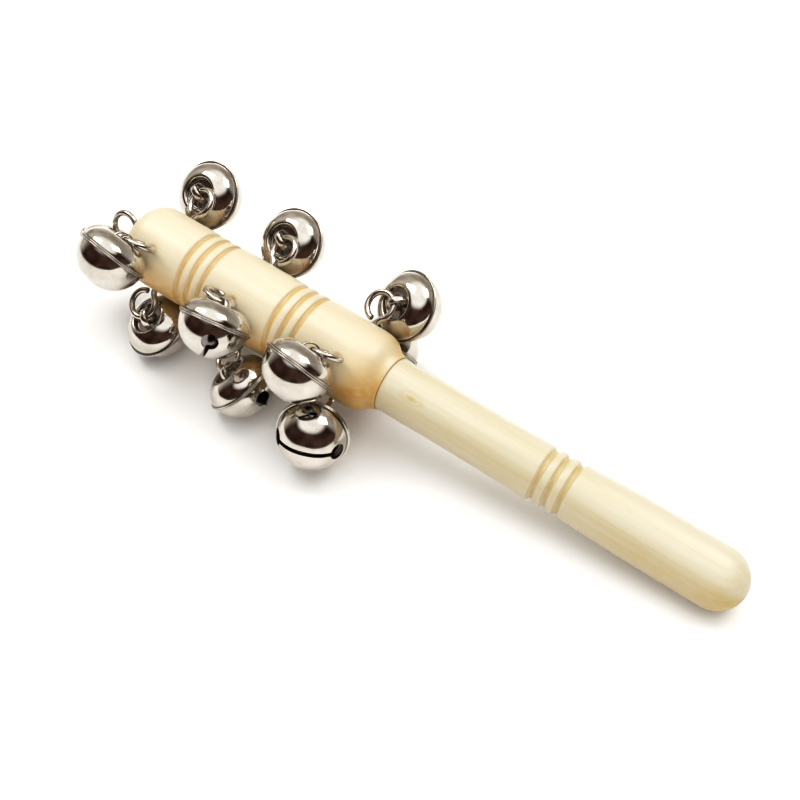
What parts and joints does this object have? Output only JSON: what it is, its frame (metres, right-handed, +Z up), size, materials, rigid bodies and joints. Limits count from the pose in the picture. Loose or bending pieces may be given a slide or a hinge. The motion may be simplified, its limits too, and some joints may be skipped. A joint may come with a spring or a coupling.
{
  "type": "sleigh bells",
  "caption": "Hand-held sleigh bells: pellet bells swing from screw eyes set round a turned wooden head and at its tip, on a slim turned wooden handle.",
  "frame": {"origin": "centre of the bounding box's footprint, on the surface the object lies on", "axes": "+X along the stick's length towards the grip end, +Y towards the bells' far side, +Z up"},
  "size_m": [0.2266, 0.0656, 0.0509],
  "materials": {
    "lacquered_wood": "clear gloss lacquer over pale turned wood",
    "plain_wood": "thin clear lacquer over pale turned wood",
    "nickel_shell": "polished nickel plate",
    "nickel_wire": "polished nickel plated wire",
    "nickel_strip": "polished nickel plated strip",
    "steel_ball": "plain steel ball"
  },
  "bodies": {
    "stick": {"head": "lacquered_wood", "handle": "plain_wood", "screw_eyes": "nickel_wire", "tip_screw_eye": "nickel_wire"},
    "bell_01": {"bell_01_dome": "nickel_shell", "bell_01_cup": "nickel_shell", "bell_01_hanger": "nickel_strip"},
    "pellet_01": {"bell_01_pellet": "steel_ball"},
    "bell_02": {"bell_02_dome": "nickel_shell", "bell_02_cup": "nickel_shell", "bell_02_hanger": "nickel_strip"},
    "pellet_02": {"bell_02_pellet": "steel_ball"},
    "bell_03": {"bell_03_dome": "nickel_shell", "bell_03_cup": "nickel_shell", "bell_03_hanger": "nickel_strip"},
    "pellet_03": {"bell_03_pellet": "steel_ball"},
    "bell_04": {"bell_04_dome": "nickel_shell", "bell_04_cup": "nickel_shell", "bell_04_hanger": "nickel_strip"},
    "pellet_04": {"bell_04_pellet": "steel_ball"},
    "bell_05": {"bell_05_dome": "nickel_shell", "bell_05_cup": "nickel_shell", "bell_05_hanger": "nickel_strip"},
    "pellet_05": {"bell_05_pellet": "steel_ball"},
    "bell_06": {"bell_06_dome": "nickel_shell", "bell_06_cup": "nickel_shell", "bell_06_hanger": "nickel_strip"},
    "pellet_06": {"bell_06_pellet": "steel_ball"},
    "bell_07": {"bell_07_dome": "nickel_shell", "bell_07_cup": "nickel_shell", "bell_07_hanger": "nickel_strip"},
    "pellet_07": {"bell_07_pellet": "steel_ball"},
    "bell_08": {"bell_08_dome": "nickel_shell", "bell_08_cup": "nickel_shell", "bell_08_hanger": "nickel_strip"},
    "pellet_08": {"bell_08_pellet": "steel_ball"},
    "bell_09": {"bell_09_dome": "nickel_shell", "bell_09_cup": "nickel_shell", "bell_09_hanger": "nickel_strip"},
    "pellet_09": {"bell_09_pellet": "steel_ball"},
    "bell_10": {"bell_10_dome": "nickel_shell", "bell_10_cup": "nickel_shell", "bell_10_hanger": "nickel_strip"},
    "pellet_10": {"bell_10_pellet": "steel_ball"},
    "bell_11": {"bell_11_dome": "nickel_shell", "bell_11_cup": "nickel_shell", "bell_11_hanger": "nickel_strip"},
    "pellet_11": {"bell_11_pellet": "steel_ball"},
    "bell_12": {"bell_12_dome": "nickel_shell", "bell_12_cup": "nickel_shell", "bell_12_hanger": "nickel_strip"},
    "pellet_12": {"bell_12_pellet": "steel_ball"},
    "bell_13": {"bell_13_dome": "nickel_shell", "bell_13_cup": "nickel_shell", "bell_13_hanger": "nickel_strip"},
    "pellet_13": {"bell_13_pellet": "steel_ball"}
  },
  "joints": [
    {"name": "swing_01", "type": "hinge", "parent": "stick", "child": "bell_01", "pos_m": [-0.08331, -0.01361, 0.04455], "axis": [0.6429, -0.505, 0.5759], "range_deg": [-138, 0]},
    {"name": "rattle_01", "type": "slide", "parent": "bell_01", "child": "pellet_01", "axis": [-0.065, -0.3013, 0.9513], "range_m": [0, 0.01216]},
    {"name": "swing_02", "type": "hinge", "parent": "stick", "child": "bell_02", "pos_m": [-0.04592, -0.01462, 0.03944], "axis": [0.522, 0.5441, -0.6569], "range_deg": [-138, 0]},
    {"name": "rattle_02", "type": "slide", "parent": "bell_02", "child": "pellet_02", "axis": [0.0211, -0.3577, 0.9336], "range_m": [0, 0.01193]},
    {"name": "swing_03", "type": "hinge", "parent": "stick", "child": "bell_03", "pos_m": [-0.01568, -0.01332, 0.0373], "axis": [0.6296, -0.4794, 0.6114], "range_deg": [-129, 0]},
    {"name": "rattle_03", "type": "slide", "parent": "bell_03", "child": "pellet_03", "axis": [-0.0499, -0.2976, 0.9534], "range_m": [0, 0.01218]},
    {"name": "swing_04", "type": "hinge", "parent": "stick", "child": "bell_04", "pos_m": [-0.08297, 0.0177, 0.0411], "axis": [0.5597, 0.5628, 0.6082], "range_deg": [0, 129]},
    {"name": "rattle_04", "type": "slide", "parent": "bell_04", "child": "pellet_04", "axis": [0.0129, 0.404, 0.9146], "range_m": [0, 0.01169]},
    {"name": "swing_05", "type": "hinge", "parent": "stick", "child": "bell_05", "pos_m": [-0.05102, 0.01817, 0.03719], "axis": [0.5958, 0.5464, 0.5885], "range_deg": [0, 120]},
    {"name": "rattle_05", "type": "slide", "parent": "bell_05", "child": "pellet_05", "axis": [0.0457, 0.4197, 0.9065], "range_m": [0, 0.01158]},
    {"name": "swing_06", "type": "hinge", "parent": "stick", "child": "bell_06", "pos_m": [-0.00934, 0.01744, 0.0342], "axis": [0.5945, -0.6915, -0.4103], "range_deg": [0, 144]},
    {"name": "rattle_06", "type": "slide", "parent": "bell_06", "child": "pellet_06", "axis": [0.1698, 0.3421, 0.9242], "range_m": [0, 0.01181]},
    {"name": "swing_07", "type": "hinge", "parent": "stick", "child": "bell_07", "pos_m": [-0.08018, -0.01514, 0.01576], "axis": [0.7439, 0.4902, 0.4542], "range_deg": [-144, 0]},
    {"name": "rattle_07", "type": "slide", "parent": "bell_07", "child": "pellet_07", "axis": [0.2308, 0.4721, 0.8508], "range_m": [0, 0.01087]},
    {"name": "swing_08", "type": "hinge", "parent": "stick", "child": "bell_08", "pos_m": [-0.04528, -0.01796, 0.0152], "axis": [0.7107, 0.289, 0.6414], "range_deg": [-81, 0]},
    {"name": "rattle_08", "type": "slide", "parent": "bell_08", "child": "pellet_08", "axis": [0.4428, 0.0845, 0.8926], "range_m": [0, 0.01141]},
    {"name": "swing_09", "type": "hinge", "parent": "stick", "child": "bell_09", "pos_m": [-0.01218, -0.01708, 0.01187], "axis": [0.2297, 0.3665, 0.9016], "range_deg": [-6, 51]},
    {"name": "rattle_09", "type": "slide", "parent": "bell_09", "child": "pellet_09", "axis": [-0.0612, 0.166, 0.9842], "range_m": [0, 0.01258]},
    {"name": "swing_10", "type": "hinge", "parent": "stick", "child": "bell_10", "pos_m": [-0.08176, 0.01847, 0.01607], "axis": [0.9985, -0.0526, -0.0144], "range_deg": [0, 105]},
    {"name": "rattle_10", "type": "slide", "parent": "bell_10", "child": "pellet_10", "axis": [-0.0459, -0.4836, 0.8741], "range_m": [0, 0.00835]},
    {"name": "swing_11", "type": "hinge", "parent": "stick", "child": "bell_11", "pos_m": [-0.05487, 0.01688, 0.01372], "axis": [0.4537, 0.4017, -0.7955], "range_deg": [0, 51]},
    {"name": "rattle_11", "type": "slide", "parent": "bell_11", "child": "pellet_11", "axis": [-0.2948, -0.0079, 0.9555], "range_m": [0, 0.01221]},
    {"name": "swing_12", "type": "hinge", "parent": "stick", "child": "bell_12", "pos_m": [-0.0136, 0.0144, 0.0066], "axis": [0.6426, -0.3431, 0.6851], "range_deg": [-138, 0]},
    {"name": "rattle_12", "type": "slide", "parent": "bell_12", "child": "pellet_12", "axis": [0.0303, -0.2968, 0.9545], "range_m": [0, 0.0122]},
    {"name": "swing_13", "type": "hinge", "parent": "stick", "child": "bell_13", "pos_m": [-0.10099, -0.00076, 0.02793], "axis": [-0.9356, 0.094, 0.3403], "range_deg": [-42, 0]},
    {"name": "rattle_13", "type": "slide", "parent": "bell_13", "child": "pellet_13", "axis": [-0.1672, -0.3574, 0.9189], "range_m": [0, 0.01174]}
  ]
}
